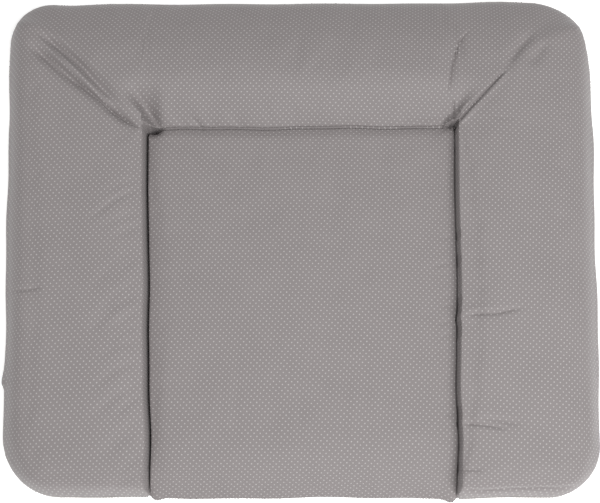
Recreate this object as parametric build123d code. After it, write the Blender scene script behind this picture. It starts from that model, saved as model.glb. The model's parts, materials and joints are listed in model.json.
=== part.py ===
"""Three-wedge changing pad: a quilted lying panel with a padded wedge on the left, right and back.

The cover is a coated cotton top sheet sewn to a plain bottom sheet round the rim and along three
inner seams, which divide it into four pockets. Each pocket holds a foam core in a fleece sleeve.
+X is the right wedge, +Y the back wedge, +Z up. The origin is under the middle of the pad.
"""

import os
from math import atan2, degrees, exp, hypot, radians, sin, sqrt

from build123d import *

# Plan, mm. The pad is a little narrower at the front, where the side wedges toe in.
FRONT_Y, BACK_Y = -358.5, 358.5
LEFT_RIM_X, LEFT_RIM_SLOPE = -414.0, -0.0445
RIGHT_RIM_X, RIGHT_RIM_SLOPE = 416.9, 0.0365
LEFT_SEAM_X, LEFT_SEAM_SLOPE = -212.9, -0.0372
RIGHT_SEAM_X, RIGHT_SEAM_SLOPE = 219.0, 0.0166
BACK_SEAM_Y = 164.5
CORNER_RADIUS = {"back_left": 68.0, "back_right": 85.0, "front_left": 85.0, "front_right": 75.0}

# Heights, mm.
WEDGE_TOP = 76.0
PANEL_TOP = 46.0
RIM_Z = 26.0
SEAM_Z = 1.0
SHEET = 0.6

# How fast the cover rises from a seam or the rim, mm.
SIDE_ROLL, BACK_ROLL = 50.0, 95.0
ROLL_BLEND = 60.0
STEEP_RISE = 14.0
WEDGE_CROWN_RUN = 120.0
PANEL_CROWN_RUN = 150.0
WEDGE_STEEP_SHARE, PANEL_STEEP_SHARE = 0.64, 0.7
INNER_POWER, OUTER_POWER = 2, 3
SLOPE_BLEND = 8.0
PANEL_FRONT_ROLL = 60.0
UNDER_ROLL = 40.0
UNDER_RADIUS = (UNDER_ROLL**2 + RIM_Z**2) / (2 * RIM_Z)
VALLEY_HALF_WIDTH = 3.5

# Fillings, mm.
FILL_GAP = 2.5
FILL_INSET = 10.0
CORE_INSET = 28.0
RIM_INSET = 12.0
CORE_CLEARANCE = 0.5
CORE_FLOOR = 10.0
CORE_NOSE_TOP = 26.0
CORE_RIDGE, CORE_RIDGE_TOP = 150.0, 54.0
CORE_END, CORE_BACK_TOP = 166.0, 44.0
CORE_FRONT_INSET = 40.0
CORE_OVERRUN = 10.0
PANEL_CORE_THICK = 20.0

# Sewing, mm.
THREAD_RADIUS = 0.4
THREAD_LIFT = 1.8
STITCH_PITCH = 5.0
STITCH_LENGTH = 3.6
EDGE_SEAM_INSET = 5.0
EDGE_SEAM_BREAK = 40.0
SEAM_RUN_OUT = 30.0
PLEAT_RUNS = {"left": ((-226.0, 170.0), (-345.0, 262.0)), "right": ((230.0, 173.0), (300.0, 243.0))}
CLOSING_RUN = ((232.0, -346.5), (332.0, -344.5))

# Distances of the grid lines from a rim or a seam, close together where the cover bends most.
RIM_STEPS = (0, 4, 10, 18, 29, 44, 64, 88)
FRONT_STEPS = (*RIM_STEPS, 125, 165, 205, 245)
SEAM_STEPS = (0, 3.5, 7, 11, 17, 26, 38, 55, 78)
PANEL_STEPS = (*SEAM_STEPS, 110, 150, 190)

# Grid lines across the short side, the panel and the long side of a filling, and how much closer
# together they are at its ends.
SHORT_GRID, PANEL_GRID, LONG_GRID = 13, 17, 21
EASE = 0.8


# ---------- plan ----------
def left_rim(y):
    return LEFT_RIM_X + LEFT_RIM_SLOPE * y


def right_rim(y):
    return RIGHT_RIM_X + RIGHT_RIM_SLOPE * y


def left_seam(y):
    return LEFT_SEAM_X + LEFT_SEAM_SLOPE * y


def right_seam(y):
    return RIGHT_SEAM_X + RIGHT_SEAM_SLOPE * y


def seam_corners():
    """The two ends of the back seam, where it meets the side seams."""
    return (left_seam(BACK_SEAM_Y), BACK_SEAM_Y), (right_seam(BACK_SEAM_Y), BACK_SEAM_Y)


def nearest_corner(x, y):
    end = "back" if y > 0 else "front"
    return CORNER_RADIUS[f"{end}_left" if x < 0 else f"{end}_right"]


def rim_offsets(x, y):
    """Distances from the side rim and from the front or back rim, with the corners left square."""
    side = x - left_rim(y) if x < 0 else right_rim(y) - x
    return side, min(y - FRONT_Y, BACK_Y - y)


def rounded(x, y, inset=0.0):
    """Moves a point of a square-cornered plan, drawn in by the inset, into one with round corners."""
    radius = nearest_corner(x, y) - inset
    side, end = (distance - inset for distance in rim_offsets(x, y))
    if side >= radius or end >= radius:
        return x, y
    p, q = 1 - side / radius, 1 - end / radius
    inward_x = radius * (p - p * sqrt(1 - q * q / 2))
    inward_y = radius * (q - q * sqrt(1 - p * p / 2))
    return x + (inward_x if x < 0 else -inward_x), y + (-inward_y if y > 0 else inward_y)


def rim_distance(x, y):
    radius = nearest_corner(x, y)
    side, end = rim_offsets(x, y)
    if side < radius and end < radius:
        return radius - hypot(radius - side, radius - end)
    return min(side, end)


def segment_distance(x, y, start, end):
    along_x, along_y = end[0] - start[0], end[1] - start[1]
    share = ((x - start[0]) * along_x + (y - start[1]) * along_y) / (along_x**2 + along_y**2)
    share = min(max(share, 0), 1)
    return hypot(x - start[0] - share * along_x, y - start[1] - share * along_y)


def seam_distance(x, y):
    """Distance to the nearest of the three inner seams."""
    left_corner, right_corner = seam_corners()
    left_front = (left_seam(FRONT_Y), FRONT_Y)
    right_front = (right_seam(FRONT_Y), FRONT_Y)
    runs = ((left_front, left_corner), (left_corner, right_corner), (right_corner, right_front))
    return min(segment_distance(x, y, *run) for run in runs)


def on_panel(x, y):
    return left_seam(y) <= x <= right_seam(y) and y <= BACK_SEAM_Y


# ---------- heights ----------
def crown(distance, run, power):
    """0 at a seam or rim, rising to 1 at the end of the run."""
    return 1 - (1 - min(distance / run, 1)) ** power


def smooth_min(a, b):
    share = max(SLOPE_BLEND - abs(a - b), 0) / SLOPE_BLEND
    return min(a, b) - share * share * SLOPE_BLEND / 4


def wedge_roll(x, y):
    """Width of the roll at the rim: tight at the sides, wide at the back, blended at the corners."""
    side, end = rim_offsets(x, y)
    share = min(max((side - end) / ROLL_BLEND + 0.5, 0), 1)
    return SIDE_ROLL + (BACK_ROLL - SIDE_ROLL) * share * share * (3 - 2 * share) * (y > 0)


def front_share(y):
    """1 at the front rim, fading to 0 over the last stretch of the inner seams."""
    return max(0, 1 - (y - FRONT_Y) / PANEL_FRONT_ROLL) ** 2


def cover_height(x, y):
    """Outer face of the top sheet."""
    rim, seam = max(rim_distance(x, y), 0), seam_distance(x, y)
    base = RIM_Z + SHEET
    valley = SEAM_Z + (base - SEAM_Z) * front_share(y)
    steep = 1 - exp(-max(seam - VALLEY_HALF_WIDTH, 0) / STEEP_RISE)
    if on_panel(x, y):
        top, share, run, roll = PANEL_TOP, PANEL_STEEP_SHARE, PANEL_CROWN_RUN, PANEL_FRONT_ROLL
    else:
        top, share, run, roll = WEDGE_TOP, WEDGE_STEEP_SHARE, WEDGE_CROWN_RUN, wedge_roll(x, y)
    rise = share * steep + (1 - share) * crown(seam, run, INNER_POWER)
    inner = valley + (top - valley) * rise
    outer = base + (top - base) * crown(rim, roll, OUTER_POWER)
    return max(smooth_min(inner, outer), min(valley, base)) + SHEET


def underside_height(x, y):
    """Outer face of the bottom sheet: flat, and turned up in an arc at the rim."""
    short = UNDER_ROLL - min(max(rim_distance(x, y), 0), UNDER_ROLL)
    return UNDER_RADIUS - sqrt(UNDER_RADIUS**2 - short**2)


# ---------- surfaces and layers ----------
def strips(rows):
    """Ruled faces between neighbouring splines."""
    return [Face.make_surface_from_curves(a, b) for a, b in zip(rows, rows[1:])]


def layer(lower_grid, upper_grid):
    """A solid between two grids of points that stand over each other."""
    lower, upper = ([Edge.make_spline(row) for row in grid] for grid in (lower_grid, upper_grid))
    ends = [Face.make_surface_from_curves(lower[i], upper[i]) for i in (0, -1)]
    for side in (0, -1):
        posts = [Edge.make_line(low[side], high[side]) for low, high in zip(lower_grid, upper_grid)]
        ends += strips(posts)
    return Solid(Shell(strips(lower) + strips(upper) + ends))


def lifted(plan, height, offset=0.0):
    return [[Vector(x, y, height(x, y) + offset) for x, y in row] for row in plan]


def steps_between(low, high, low_steps, high_steps):
    """Positions from low to high, spaced by the steps given from each end."""
    return [low + s for s in low_steps] + [high - s for s in reversed(high_steps)]


def sheet_plan():
    """Grid over the whole pad, with lines along the rim and the inner seams."""
    seam_y = BACK_SEAM_Y
    rows = steps_between(FRONT_Y, seam_y, FRONT_STEPS, PANEL_STEPS)
    rows += steps_between(seam_y, BACK_Y, SEAM_STEPS, RIM_STEPS)[1:]
    plan = []
    for y in rows:
        across = steps_between(left_rim(y), left_seam(y), RIM_STEPS, SEAM_STEPS)
        across += steps_between(left_seam(y), right_seam(y), PANEL_STEPS, PANEL_STEPS)[1:]
        across += steps_between(right_seam(y), right_rim(y), SEAM_STEPS, RIM_STEPS)[1:]
        plan.append([rounded(x, y) for x in across])
    return plan


def eased(share):
    """Crowds grid lines towards both ends of a span."""
    return share - EASE * sin(radians(360 * share)) / radians(360)


def pocket_plan(corners, columns, rows):
    """Grid over a four-cornered pocket, given its corners in order round it."""
    plan = []
    for i in range(rows):
        t = eased(i / (rows - 1))
        row = []
        for j in range(columns):
            s = eased(j / (columns - 1))
            shares = ((1 - s) * (1 - t), s * (1 - t), s * t, (1 - s) * t)
            x = sum(share * corner[0] for share, corner in zip(shares, corners))
            y = sum(share * corner[1] for share, corner in zip(shares, corners))
            row.append(rounded(x, y, RIM_INSET))
        plan.append(row)
    return plan


def mitre_y(x):
    """The line between the side and back pockets, from a seam corner to a corner of the pad."""
    seam_corner = seam_corners()[0 if x < 0 else 1]
    outer_x = left_rim(BACK_Y) if x < 0 else right_rim(BACK_Y)
    share = (x - seam_corner[0]) / (outer_x - seam_corner[0])
    return seam_corner[1] + share * (BACK_Y - seam_corner[1])


def mitre_x(y, side):
    seam_corner = seam_corners()[0 if side < 0 else 1]
    outer_x = left_rim(BACK_Y) if side < 0 else right_rim(BACK_Y)
    share = (y - seam_corner[1]) / (BACK_Y - seam_corner[1])
    return seam_corner[0] + share * (outer_x - seam_corner[0])


def side_pocket(side):
    """Corners of the left (-1) or right (+1) pocket."""
    seam, rim = (left_seam, left_rim) if side < 0 else (right_seam, right_rim)
    front = FRONT_Y + RIM_INSET
    inner = seam(BACK_SEAM_Y) + side * FILL_INSET
    outer = rim(BACK_Y) - side * RIM_INSET
    return (
        (seam(front) + side * FILL_INSET, front),
        (rim(front) - side * RIM_INSET, front),
        (outer, mitre_y(outer) - FILL_GAP),
        (inner, mitre_y(inner) - FILL_GAP),
    )


def back_pocket():
    inner = BACK_SEAM_Y + FILL_INSET + FILL_GAP
    outer = BACK_Y - RIM_INSET
    return (
        (mitre_x(inner, -1) + FILL_GAP, inner),
        (mitre_x(inner, 1) - FILL_GAP, inner),
        (mitre_x(outer, 1) - FILL_GAP, outer),
        (mitre_x(outer, -1) + FILL_GAP, outer),
    )


def panel_pocket():
    front, back = FRONT_Y + RIM_INSET, BACK_SEAM_Y - FILL_INSET
    return (
        (left_seam(front) + FILL_INSET, front),
        (right_seam(front) - FILL_INSET, front),
        (right_seam(back) - FILL_INSET, back),
        (left_seam(back) + FILL_INSET, back),
    )


def fleece(corners, core, columns, rows):
    """A fleece sleeve that fills its pocket, hollow where the foam core lies."""
    plan = pocket_plan(corners, columns, rows)
    lower = lifted(plan, underside_height, SHEET + FILL_GAP)
    upper = lifted(plan, cover_height, -SHEET - FILL_GAP)
    return layer(lower, upper) - core


# ---------- foam cores ----------
def wedge_core(grow=0.0):
    """Cross-section of a wedge core: x runs outwards from the inner seam, y is up."""
    points = ((CORE_INSET, CORE_FLOOR), (CORE_END, CORE_FLOOR), (CORE_END, CORE_BACK_TOP),
              (CORE_RIDGE, CORE_RIDGE_TOP), (CORE_INSET, CORE_NOSE_TOP))
    section = make_face(Polyline(*points, close=True))
    return offset(section, grow, kind=Kind.INTERSECTION) if grow else section


def side_core(side, grow=0.0):
    """Foam wedge of a side pocket, high towards the rim and low towards the lying panel."""
    slope = LEFT_SEAM_SLOPE if side < 0 else RIGHT_SEAM_SLOPE
    seam = left_seam if side < 0 else right_seam
    section = Plane.XZ * wedge_core(grow)
    if side < 0:
        section = mirror(section, Plane.YZ)
    start, end = FRONT_Y + CORE_FRONT_INSET - grow, BACK_SEAM_Y + grow
    bar = extrude(section, end - start, dir=(0, 1, 0))
    return Pos(seam(start), start, 0) * Rot(Z=-degrees(atan2(slope, 1))) * bar


def back_core(grow=0.0):
    section = Plane.YZ * wedge_core(grow)
    left, right = (corner[0] for corner in seam_corners())
    start, length = left - CORE_OVERRUN - grow, right - left + 2 * (CORE_OVERRUN + grow)
    return Pos(start, BACK_SEAM_Y, 0) * extrude(section, length, dir=(1, 0, 0))


def panel_core(grow=0.0):
    """Foam slab of the lying panel."""
    inset = CORE_INSET - grow
    front, back = FRONT_Y + inset, BACK_SEAM_Y - inset
    outline = make_face(Polyline((left_seam(front) + inset, front), (right_seam(front) - inset, front),
                                 (right_seam(back) - inset, back), (left_seam(back) + inset, back),
                                 close=True))
    return Pos(0, 0, CORE_FLOOR - grow) * extrude(outline, PANEL_CORE_THICK + 2 * grow)


# ---------- sheets ----------
def top_sheet():
    plan = sheet_plan()
    return layer(lifted(plan, cover_height, -SHEET), lifted(plan, cover_height))


def rim_outline(inset):
    """Closed outline of the pad with rounded corners, drawn in by the inset."""
    front, back = FRONT_Y + inset, BACK_Y - inset
    corners = ((left_rim(front) + inset, front), (left_rim(back) + inset, back),
               (right_rim(back) - inset, back), (right_rim(front) - inset, front))
    order = ("front_left", "back_left", "back_right", "front_right")
    radii = [CORNER_RADIUS[name] - inset for name in order]
    return FilletPolyline(*corners, radius=radii, close=True)


def bottom_sheet():
    """A flat plain sheet whose rim turns up in an arc to meet the top sheet."""
    path = rim_outline(UNDER_ROLL)
    start = Plane(origin=path @ 0, x_dir=Vector(0, 0, 1).cross(path % 0), z_dir=path % 0)
    outwards = 1 if (start.origin + start.x_dir).length > start.origin.length else -1
    reach = degrees(atan2(UNDER_ROLL, UNDER_RADIUS - RIM_Z))
    arcs = []
    for radius in (UNDER_RADIUS, UNDER_RADIUS - SHEET):
        sweep_angle = outwards * reach
        arcs.append(CenterArc((0, UNDER_RADIUS), radius, -90, sweep_angle))
    profile = make_face([*arcs, Line(arcs[0] @ 0, arcs[1] @ 0), Line(arcs[0] @ 1, arcs[1] @ 1)])
    rim = sweep(start * profile, path)
    return extrude(make_face(path), SHEET) + rim


# ---------- sewing ----------
def stitch_row(start, end):
    """Separate stitches along a straight run in plan, each lying on the slope of the cover."""
    run = hypot(end[0] - start[0], end[1] - start[1])
    count = int(run / STITCH_PITCH)
    stitches = []
    for i in range(count):
        first, last = (i * STITCH_PITCH) / run, (i * STITCH_PITCH + STITCH_LENGTH) / run
        ends = []
        for share in (first, last):
            x = start[0] + share * (end[0] - start[0])
            y = start[1] + share * (end[1] - start[1])
            ends.append(Vector(x, y, cover_height(x, y) + THREAD_LIFT))
        along = ends[1] - ends[0]
        at = Plane(origin=ends[0], z_dir=along)
        stitches.append(extrude(at * Circle(THREAD_RADIUS), along.length))
    return Compound(children=stitches)


def edge_thread(points, radii=None):
    """Thread of the rim seam, which runs inside the cover where the two sheets meet."""
    stops = [(x, y, RIM_Z) for x, y in points]
    route = FilletPolyline(*stops, radius=radii) if radii else Line(*stops)
    start = Plane(origin=route @ 0, z_dir=route % 0)
    return sweep(start * Circle(THREAD_RADIUS), route)


def edge_stitches():
    """One run round the wedges and one across the lying panel, apart where the inner seams end."""
    front, back = FRONT_Y + EDGE_SEAM_INSET, BACK_Y - EDGE_SEAM_INSET
    round_wedges = [(left_seam(front) - EDGE_SEAM_BREAK, front)]
    for rim, y in ((left_rim, front), (left_rim, back), (right_rim, back), (right_rim, front)):
        inward = EDGE_SEAM_INSET if rim is left_rim else -EDGE_SEAM_INSET
        round_wedges.append((rim(y) + inward, y))
    round_wedges.append((right_seam(front) + EDGE_SEAM_BREAK, front))
    order = ("front_left", "back_left", "back_right", "front_right")
    radii = [CORNER_RADIUS[name] - EDGE_SEAM_INSET for name in order]
    across = [(left_seam(front) + EDGE_SEAM_BREAK, front),
              (right_seam(front) - EDGE_SEAM_BREAK, front)]
    return Compound(children=[edge_thread(round_wedges, radii), edge_thread(across)])


def seam_stitches(side):
    """Stitches of an inner seam: left (-1), right (+1) or back (0)."""
    left, right = seam_corners()
    if side == 0:
        return stitch_row((left[0] + STITCH_PITCH, left[1]), right)
    seam = left_seam if side < 0 else right_seam
    front = FRONT_Y + SEAM_RUN_OUT
    return stitch_row((seam(front), front), left if side < 0 else right)


def main():
    os.makedirs("parts", exist_ok=True)
    left_hollow, right_hollow = side_core(-1, CORE_CLEARANCE), side_core(1, CORE_CLEARANCE)
    nodes = {
        "top_sheet": top_sheet(),
        "bottom_sheet": bottom_sheet(),
        "left_wedge_foam": side_core(-1),
        "right_wedge_foam": side_core(1),
        "back_wedge_foam": back_core(),
        "panel_foam": panel_core(),
        "left_wedge_fleece": fleece(side_pocket(-1), left_hollow, SHORT_GRID, LONG_GRID),
        "right_wedge_fleece": fleece(side_pocket(1), right_hollow, SHORT_GRID, LONG_GRID),
        "back_wedge_fleece": fleece(back_pocket(), back_core(CORE_CLEARANCE), LONG_GRID, SHORT_GRID),
        "panel_fleece": fleece(panel_pocket(), panel_core(CORE_CLEARANCE), PANEL_GRID, LONG_GRID),
        "left_seam_stitches": seam_stitches(-1),
        "right_seam_stitches": seam_stitches(1),
        "back_seam_stitches": seam_stitches(0),
        "edge_seam_stitches": edge_stitches(),
        "left_pleat_stitches": stitch_row(*PLEAT_RUNS["left"]),
        "right_pleat_stitches": stitch_row(*PLEAT_RUNS["right"]),
        "closing_seam_stitches": stitch_row(*CLOSING_RUN),
    }
    for name, shape in nodes.items():
        export_step(shape, f"parts/{name}.step")


main()
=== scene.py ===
"""Three-wedge changing pad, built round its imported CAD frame.

A dotted, coated cotton cover is sewn along three inner seams into four pockets. Each pocket holds a
foam core in a fleece sleeve. Lengths in the plan and height functions are in millimetres, as on the
cutting pattern, and become metres when a mesh is made.
"""
import json
from math import ceil, hypot, pi, radians
from random import Random

import bmesh
import bpy
import numpy as np
from bpy.props import FloatProperty, FloatVectorProperty, IntProperty, PointerProperty
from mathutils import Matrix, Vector, noise
from mathutils.bvhtree import BVHTree

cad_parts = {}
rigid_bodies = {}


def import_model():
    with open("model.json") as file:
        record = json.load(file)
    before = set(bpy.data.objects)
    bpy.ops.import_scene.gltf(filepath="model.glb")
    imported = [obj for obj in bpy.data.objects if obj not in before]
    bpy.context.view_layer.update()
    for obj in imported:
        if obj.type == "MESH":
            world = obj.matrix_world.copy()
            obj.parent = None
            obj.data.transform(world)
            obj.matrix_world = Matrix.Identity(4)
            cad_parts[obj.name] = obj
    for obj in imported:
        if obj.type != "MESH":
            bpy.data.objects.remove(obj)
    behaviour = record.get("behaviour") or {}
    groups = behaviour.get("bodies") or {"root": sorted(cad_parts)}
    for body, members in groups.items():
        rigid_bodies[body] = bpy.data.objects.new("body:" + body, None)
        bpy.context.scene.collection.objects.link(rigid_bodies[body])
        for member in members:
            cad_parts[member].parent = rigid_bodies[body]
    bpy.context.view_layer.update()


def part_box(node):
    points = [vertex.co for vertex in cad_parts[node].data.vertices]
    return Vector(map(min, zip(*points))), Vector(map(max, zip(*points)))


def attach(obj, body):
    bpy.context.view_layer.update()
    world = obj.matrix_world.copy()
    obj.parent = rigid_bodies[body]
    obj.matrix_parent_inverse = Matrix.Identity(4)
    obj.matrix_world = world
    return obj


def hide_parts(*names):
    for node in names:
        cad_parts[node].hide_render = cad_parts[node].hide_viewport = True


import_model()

bl_info = {
    "name": "Changing pad",
    "version": (1, 0, 0),
    "blender": (4, 5, 0),
    "location": "View3D > Sidebar > Changing pad",
    "description": "Builds a three-wedge changing pad with a sewn cover, foam cores and fleece sleeves",
    "category": "Object",
}

MM = 0.001
TOP_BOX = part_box("top_sheet")

# Plan, mm. The side wedges toe in towards the front.
FRONT_Y, BACK_Y = -358.5, 358.5
BACK_SEAM_Y = 164.5
WEDGE_WIDTH, PANEL_WIDTH = 200, 432
CORNER_RADII = {"back_left": 70.0, "back_right": 88.0, "front_left": 80.0, "front_right": 70.0}

# Heights, mm.
RIM_Z = 26.0
SHEET = 0.6
VALLEY_Z = 4.2
GROOVE_Z = 2.2

# How fast the cover rises from a seam or the rim, mm.
SIDE_ROLL, BACK_ROLL, FRONT_ROLL = 52.0, 150.0, 32.0
SIDE_ROUNDING, BACK_ROUNDING, PANEL_ROUNDING = 3.0, 2.3, 2.0
TIGHT_ROLL, BACK_TIGHT_SHARE = 24.0, 0.22
ROLL_BLEND = 60.0
PANEL_FRONT_ROLL = 90.0
WEDGE_CROWN_RUN, BACK_CROWN_RUN = 100.0, 60.0
BACK_STEEP_SHARE = 0.9
PANEL_CROWN_RUN = 150.0
WEDGE_WALL, PANEL_WALL = 3.2, 1.2
WEDGE_EDGE, WEDGE_RIGHT_EDGE, WEDGE_BACK_EDGE = 8.0, 3.5, 70.0
PANEL_EDGE, PANEL_RIGHT_EDGE, PANEL_BACK_EDGE = 5.0, 3.0, 26.0
WEDGE_BACK_POWER, PANEL_BACK_POWER = 1.8, 2
# How far the filling closes the seams from below, at the right and the back
VALLEY_LIFT, BACK_LIFT_SHARE = 27.0, 1.2
# How far the full back wedge pushes its seam over the panel
BACK_PULL = 5.5
WEDGE_STEEP_SHARE, PANEL_STEEP_SHARE = 0.84, 0.86
RIM_SPARE, RIM_RUN = 14.0, 60.0
# How far off the pad's own lines the cloth was laid, and how it pulls round to the right
LAY_ACROSS, LAY_ALONG, LAY_PULL = -0.075, 0.021, 0.000073
UNDER_ROLL = 40.0
UNDER_RADIUS = (UNDER_ROLL**2 + RIM_Z**2) / (2 * RIM_Z)


# ---------- plan ----------
def left_rim(y):
    return -414.0 - 0.0445 * y


def right_rim(y):
    return 416.9 + 0.0365 * y


def left_seam(y):
    return -212.9 - 0.0372 * y


def right_seam(y):
    return 219.0 + 0.0166 * y


def seam_corners():
    """The two ends of the back seam, where it meets the side seams."""
    return (left_seam(BACK_SEAM_Y), BACK_SEAM_Y), (right_seam(BACK_SEAM_Y), BACK_SEAM_Y)


def corner_radius(x, y):
    radii = CORNER_RADII
    back = np.where(x < 0, radii["back_left"], radii["back_right"])
    return np.where(y > 0, back, np.where(x < 0, radii["front_left"], radii["front_right"]))


def rim_offsets(x, y):
    """Distances from the side rim and from the front or back rim, with the corners left square."""
    side = np.where(x < 0, x - left_rim(y), right_rim(y) - x)
    return side, np.minimum(y - FRONT_Y, BACK_Y - y)


def rounded(x, y, inset=0.0):
    """Moves points of a square-cornered plan, drawn in by the inset, into one with round corners."""
    radius = corner_radius(x, y) - inset
    side, end = (distance - inset for distance in rim_offsets(x, y))
    p, q = np.clip(1 - side / radius, 0, 1), np.clip(1 - end / radius, 0, 1)
    inward_x = radius * p * (1 - np.sqrt(1 - q * q / 2))
    inward_y = radius * q * (1 - np.sqrt(1 - p * p / 2))
    return x - np.sign(x) * inward_x, y - np.sign(y) * inward_y


def rim_distance(x, y):
    radius = corner_radius(x, y)
    side, end = rim_offsets(x, y)
    in_corner = (side < radius) & (end < radius)
    return np.where(in_corner, radius - np.hypot(radius - side, radius - end), np.minimum(side, end))


def along_route(x, y, route):
    """Distance from a route of straight runs, the side on which a point lies, its share along, and
    the way from the route to the point."""
    best = np.full(np.shape(x), 1e9)
    side, share, way_x, way_y = (np.zeros(np.shape(x)) for _ in range(4))
    lengths = [hypot(b[0] - a[0], b[1] - a[1]) for a, b in zip(route, route[1:])]
    done = 0.0
    for (a, b), length in zip(zip(route, route[1:]), lengths):
        ux, uy = (b[0] - a[0]) / length, (b[1] - a[1]) / length
        t = np.clip((x - a[0]) * ux + (y - a[1]) * uy, 0, length)
        away_x, away_y = x - a[0] - t * ux, y - a[1] - t * uy
        distance = np.hypot(away_x, away_y)
        near = distance < best
        best = np.where(near, distance, best)
        side = np.where(near, np.sign(ux * away_y - uy * away_x), side)
        share = np.where(near, (done + t) / sum(lengths), share)
        way_x, way_y = np.where(near, away_x, way_x), np.where(near, away_y, way_y)
        done += length
    return best, side, share, way_x / np.maximum(best, 1e-6), way_y / np.maximum(best, 1e-6)


def inner_seams():
    """The three inner seams as one route, from the front left round the panel to the front right."""
    return ((left_seam(FRONT_Y), FRONT_Y), *seam_corners(), (right_seam(FRONT_Y), FRONT_Y))


def seam_distance(x, y):
    """Distance to the nearest of the three inner seams."""
    return along_route(x, y, inner_seams())[0]


def on_panel(x, y):
    return (x >= left_seam(y)) & (x <= right_seam(y)) & (y <= BACK_SEAM_Y)


def swelling(value, middle, width):
    """1 at the middle, falling to nothing a few widths away."""
    return np.exp(-(((value - middle) / width) ** 2))


def seam_wander(x, y):
    """How far the sewing strays sideways from a straight inner seam."""
    near = swelling(seam_distance(x, y), 0, 22)
    front = np.clip((60 - y) / 300, 0, 1)
    side = 1.1 * front * np.sin(y / 23 + 1) * np.sin(y / 61) - 0.5 * np.sin(y / 37)
    side = side - np.where(x > 0, 2.6 * smooth_step((-120 - y) / 100), 0.8)
    side = np.where(x > 0, side - 1.6 * swelling(y, -119, 7) - 1.4 * swelling(y, -262, 7), side)
    back = 0.8 * np.sin(x / 31) + 0.5 * np.sin(x / 13 + 2) + 1.5 * (x / 210) - BACK_PULL
    below = np.clip((BACK_SEAM_Y - 12 - y) / 20, 0, 1)
    between = (x > left_seam(y) - 5) & (x < right_seam(y) + 5)
    return side * near * below, back * near * np.where(between, 1 - below, 0)


def rim_wander(x, y):
    """Small unevenness of the rim: tucks where the inner seams end and a pointed fold at the left."""
    rim = rim_distance(x, y)
    near = swelling(rim, 0, 16)
    front = np.where(y < -300, 1.0, 0.0)
    left, right = x - left_seam(FRONT_Y), x - right_seam(FRONT_Y)
    out = -3.6 * swelling(left, 9, 8) - 4.2 * swelling(right, -9, 9)
    out += 3.2 * swelling(left, 0, 3.5) + 3.0 * swelling(right, 0, 3.5)
    out += 1.0 * np.sin(x / 47 + 0.6) + 0.6 * np.sin(x / 19)
    side = np.where(x < 0, -1.0, 1.0) * (0.9 * np.sin(y / 41 + x / 90) + 0.5 * np.sin(y / 17))
    pointed = swelling(y, -205, np.where(y > -205, 16, 6))
    side = side - np.where(x < 0, 3.4 * pointed, 3.0 * swelling(y, 290, 32))
    back = 1.1 * np.sin(x / 83 + 1.2) + 0.5 * np.sin(x / 23) - 2.0 * swelling(x, -20, 200)
    back += 3.6 * swelling(x, 285, 55) - 3.0 * swelling(x, -350, 40)
    back = np.where(y > 300, back, 0.0)
    along_side = swelling(rim_offsets(x, y)[0], 0, 16)
    return side * near * along_side, out * near * front + back * near


def strayed(x, y):
    """Where the sewing and the rim really run, for points of the pattern."""
    seam_x, seam_y = seam_wander(x, y)
    rim_x, rim_y = rim_wander(x, y)
    return x + seam_x + rim_x, y + seam_y + rim_y


# ---------- heights ----------
def crown(distance, run, power):
    """0 at a seam or rim, rising to 1 at the end of the run."""
    return 1 - (1 - np.minimum(distance / run, 1)) ** power


def smooth_step(share):
    share = np.clip(share, 0, 1)
    return share * share * (3 - 2 * share)


def smooth_min(a, b, blend=8.0):
    share = np.maximum(blend - np.abs(a - b), 0) / blend
    return np.minimum(a, b) - share * share * blend / 4


def wedge_roll(x, y):
    """Width and power of the roll at the rim: tight at the sides and the front, wide at the back."""
    side, end = rim_offsets(x, y)
    share = smooth_step((side - end) / ROLL_BLEND + 0.5)
    width = SIDE_ROLL + (np.where(y > 0, BACK_ROLL, FRONT_ROLL) - SIDE_ROLL) * share
    return width, SIDE_ROUNDING + (BACK_ROUNDING - SIDE_ROUNDING) * share * (y > 0)


def valley_lift(x, y):
    """How far the seam's floor is raised: not at the left seam, fully at the right, most at the back."""
    right = smooth_step((x - right_seam(y) + 60) / 60) * smooth_step((BACK_SEAM_Y + 10 - y) / 60)
    from_left = smooth_step((x - left_seam(y)) / 26)
    return VALLEY_LIFT * from_left * (BACK_LIFT_SHARE + (1 - BACK_LIFT_SHARE) * right)


def back_share(x, y):
    """1 beside the back seam and 0 beside the side seams, for the panel and for the back wedge."""
    beside = np.minimum(x - left_seam(y), right_seam(y) - x)
    return np.where(on_panel(x, y), smooth_step((beside - (BACK_SEAM_Y - y)) / 24 + 0.5),
                    smooth_step((beside + y - BACK_SEAM_Y) / 26) * (y > BACK_SEAM_Y))


def seam_wall(seam, height, edge, wall):
    """Share risen beside a seam: a nearly upright wall, then a rounded edge."""
    bend, up = np.clip(1 - seam / edge, 0, 1), np.clip(seam / wall, 0, 1)
    rounding = np.minimum(edge / np.maximum(height, edge), 1)
    return (1 - rounding) * up * up * (3 - 2 * up) + rounding * np.sqrt(1 - bend * bend)


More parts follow.
